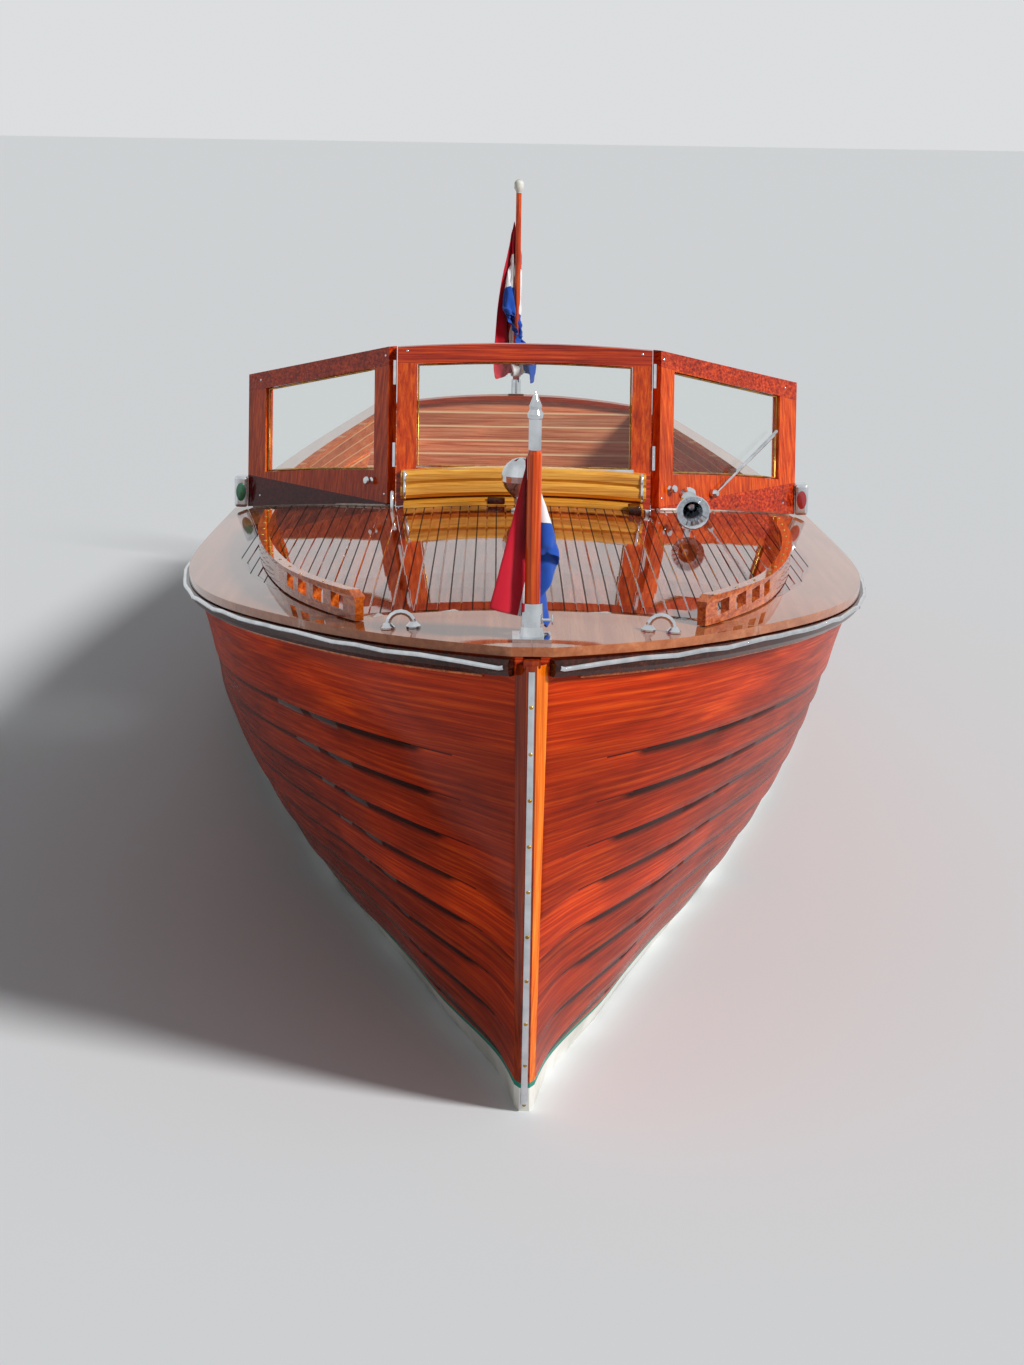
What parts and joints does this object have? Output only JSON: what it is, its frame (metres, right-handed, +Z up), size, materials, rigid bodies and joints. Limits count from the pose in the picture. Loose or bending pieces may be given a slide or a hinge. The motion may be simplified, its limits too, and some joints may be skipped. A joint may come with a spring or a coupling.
{
  "type": "speedboat",
  "caption": "Open lapstrake mahogany speedboat with a planked foredeck, three-part wooden windscreen, benches, inboard engine box, shaft and rudder.",
  "frame": {"origin": "on the centreline at the surface of the water, half the hull's length aft of the stem", "axes": "+Z up, -Y to the bow, +X to port"},
  "size_m": [2.2394, 7.1603, 2.5104],
  "materials": {
    "varnished_mahogany": "high gloss varnish",
    "dark_mahogany": "gloss varnish",
    "golden_ash": "gloss varnish",
    "polished_chrome": "polished",
    "bronze": "dull",
    "clear_glass": "clear",
    "white_paint": "satin paint on wood",
    "engine_enamel": "enamel",
    "seat_cushion": "matt",
    "flag_bunting": "matt"
  },
  "bodies": {
    "hull": {"cockpit_sole": "varnished_mahogany", "covering_board_port": "varnished_mahogany", "covering_board_starboard": "varnished_mahogany", "dashboard": "varnished_mahogany", "deck_rail_port": "varnished_mahogany", "deck_rail_starboard": "varnished_mahogany", "engine": "engine_enamel", "engine_box": "varnished_mahogany", "ensign": "flag_bunting", "ensign_socket": "polished_chrome", "ensign_staff": "varnished_mahogany", "fairlead_port": "polished_chrome", "fairlead_starboard": "polished_chrome", "foredeck_panel": "varnished_mahogany", "gunwale_cap_port": "varnished_mahogany", "gunwale_cap_starboard": "varnished_mahogany", "helm_bench": "varnished_mahogany", "helm_cushion": "seat_cushion", "horn": "polished_chrome", "jack_flag": "flag_bunting", "jackstaff": "varnished_mahogany", "keel": "white_paint", "planking_port": "varnished_mahogany", "planking_starboard": "varnished_mahogany", "propeller_shaft": "bronze", "quarter_glass_port": "clear_glass", "quarter_glass_starboard": "clear_glass", "rub_rail_port": "dark_mahogany", "rub_rail_starboard": "dark_mahogany", "side_light_port": "polished_chrome", "side_light_starboard": "polished_chrome", "side_lining_port": "golden_ash", "side_lining_starboard": "golden_ash", "spotlight_foot": "polished_chrome", "steering_column": "polished_chrome", "stem": "varnished_mahogany", "stemhead_fitting": "polished_chrome", "stern_bench": "varnished_mahogany", "stern_cushion": "seat_cushion", "throttle_lever": "polished_chrome", "transom": "varnished_mahogany", "transom_cap": "varnished_mahogany", "vent_bars": "golden_ash", "vent_sill": "golden_ash", "windscreen_centre_frame": "varnished_mahogany", "windscreen_centre_glass": "clear_glass", "windscreen_wing_port_frame": "varnished_mahogany", "windscreen_wing_port_glass": "clear_glass", "windscreen_wing_starboard_frame": "varnished_mahogany", "windscreen_wing_starboard_glass": "clear_glass", "wiper": "polished_chrome"},
    "steering_wheel": {"steering_wheel": "dark_mahogany"},
    "rudder": {"rudder": "bronze"},
    "propeller": {"propeller": "bronze"},
    "engine_box_lid": {"engine_box_lid": "varnished_mahogany"},
    "spotlight": {"spotlight": "polished_chrome"}
  },
  "joints": [
    {"name": "steering_wheel_turn", "type": "hinge", "parent": "hull", "child": "steering_wheel", "pos_m": [0.3, -0.42, 0.8], "axis": [0, 0.9511, 0.309], "range_deg": [-540, 540]},
    {"name": "rudder_turn", "type": "hinge", "parent": "hull", "child": "rudder", "pos_m": [0, 2.7, -0.3], "axis": [0, 0, 1], "range_deg": [-35, 35]},
    {"name": "propeller_spin", "type": "hinge", "parent": "hull", "child": "propeller", "pos_m": [0, 2.3, -0.47], "axis": [0, -0.9877, 0.1564], "continuous": true},
    {"name": "engine_box_lid_hinge", "type": "hinge", "parent": "hull", "child": "engine_box_lid", "pos_m": [0, 0.55, 0.5203], "axis": [1, 0, 0], "range_deg": [0, 80]},
    {"name": "spotlight_pan", "type": "hinge", "parent": "hull", "child": "spotlight", "pos_m": [-0.01, -1.08, 1.15], "axis": [0, 0, 1], "range_deg": [-160, 160]}
  ],
  "couplings": [
    {"joint": "rudder_turn", "follows": "steering_wheel_turn", "ratio": -0.0648}
  ]
}
